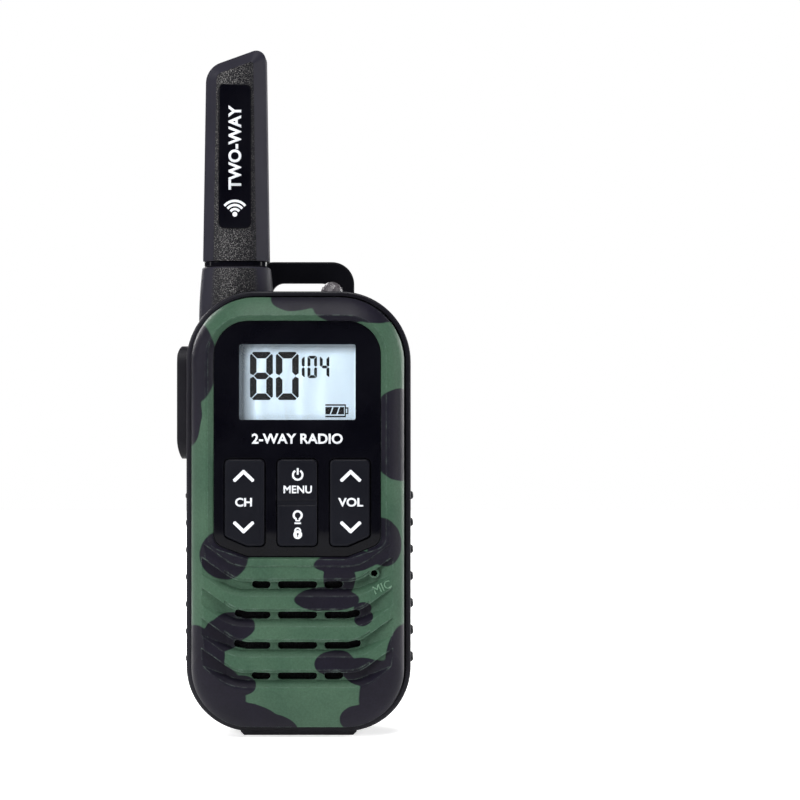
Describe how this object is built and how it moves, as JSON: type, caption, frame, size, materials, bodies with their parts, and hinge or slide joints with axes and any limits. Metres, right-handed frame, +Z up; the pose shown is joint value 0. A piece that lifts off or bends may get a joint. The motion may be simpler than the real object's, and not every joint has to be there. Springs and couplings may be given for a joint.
{
  "type": "toy walkie talkie",
  "caption": "Handheld toy two-way radio with a camouflage front, stub antenna, small display, rocker keys, slotted speaker grille, side talk button and sprung belt clip.",
  "frame": {"origin": "centre line of the radio on the underside of the foot it stands on", "axes": "+Z up along the body and antenna, -Y out of the display side, +X to the right as seen from the front"},
  "size_m": [0.0604, 0.0377, 0.1746],
  "materials": {
    "camo_shell": "satin camouflage print",
    "black_shell": "fine texture",
    "black_gloss": "polished",
    "key_plastic": "satin",
    "clear_plastic": "clear",
    "lcd": "reflective display",
    "white_plastic": "diffuser",
    "rubber": "matte",
    "silicone": "translucent grey",
    "board": "solder mask",
    "steel": "plated",
    "nickel": "plated",
    "copper": "enamelled wire",
    "chip": "moulded",
    "cell": "printed sleeve",
    "foam": "closed-cell foam",
    "cloth": "acoustic cloth",
    "paper": "pressed paper"
  },
  "bodies": {
    "case": {"antenna_base": "black_shell", "antenna_coil": "copper", "antenna_label": "black_gloss", "antenna_neck_ring": "black_gloss", "antenna_sheath": "rubber", "antenna_stud": "nickel", "battery_cells": "cell", "battery_contacts": "nickel", "battery_springs": "nickel", "board_chips": "chip", "board_screws": "steel", "bracket_screws": "steel", "case_gasket": "rubber", "case_screws": "steel", "clip_bracket": "black_shell", "clip_pin": "steel", "clip_spring": "steel", "display_panel": "black_gloss", "display_window": "clear_plastic", "front_shell": "camo_shell", "key_switches": "nickel", "keypad_membrane": "silicone", "lcd_connector": "silicone", "lcd_frame": "white_plastic", "lcd_glass": "lcd", "main_board": "board", "mic_boot": "rubber", "microphone": "nickel", "ptt_switch": "chip", "rear_shell": "black_shell", "shield_can": "nickel", "side_grip_left": "rubber", "side_grip_right": "rubber", "speaker_cone": "paper", "speaker_frame": "steel", "speaker_magnet": "nickel", "speaker_mesh": "cloth", "spring_plates": "nickel", "torch_led": "clear_plastic", "torch_lens": "clear_plastic"},
    "ptt": {"ptt_button": "black_shell"},
    "channel": {"channel_key": "key_plastic"},
    "menu": {"menu_key": "key_plastic"},
    "volume": {"volume_key": "key_plastic"},
    "clip": {"belt_clip": "black_shell"},
    "door": {"battery_door": "black_shell", "door_screw": "steel", "door_pad": "foam"}
  },
  "joints": [
    {"name": "ptt_press", "type": "slide", "parent": "case", "child": "ptt", "axis": [1, 0, 0], "range_m": [0, 0.0009], "stiffness_N_per_m": 900, "springref_m": -0.0006},
    {"name": "channel_rock", "type": "hinge", "parent": "case", "child": "channel", "pos_m": [-0.0132, -0.0122, 0.05935], "axis": [1, 0, 0], "range_deg": [-2.5, 2.5], "stiffness_Nm_per_rad": 0.25},
    {"name": "menu_rock", "type": "hinge", "parent": "case", "child": "menu", "pos_m": [0, -0.0122, 0.05935], "axis": [1, 0, 0], "range_deg": [-2.5, 2.5], "stiffness_Nm_per_rad": 0.25},
    {"name": "volume_rock", "type": "hinge", "parent": "case", "child": "volume", "pos_m": [0.0132, -0.0122, 0.05935], "axis": [1, 0, 0], "range_deg": [-2.5, 2.5], "stiffness_Nm_per_rad": 0.25},
    {"name": "clip_swing", "type": "hinge", "parent": "case", "child": "clip", "pos_m": [0, 0.0181, 0.1], "axis": [1, 0, 0], "range_deg": [0, 22], "stiffness_Nm_per_rad": 0.2, "springref_deg": -20.05},
    {"name": "door_swing", "type": "hinge", "parent": "case", "child": "door", "pos_m": [0, 0.0155, 0.0619], "axis": [1, 0, 0], "range_deg": [0, 75]}
  ]
}
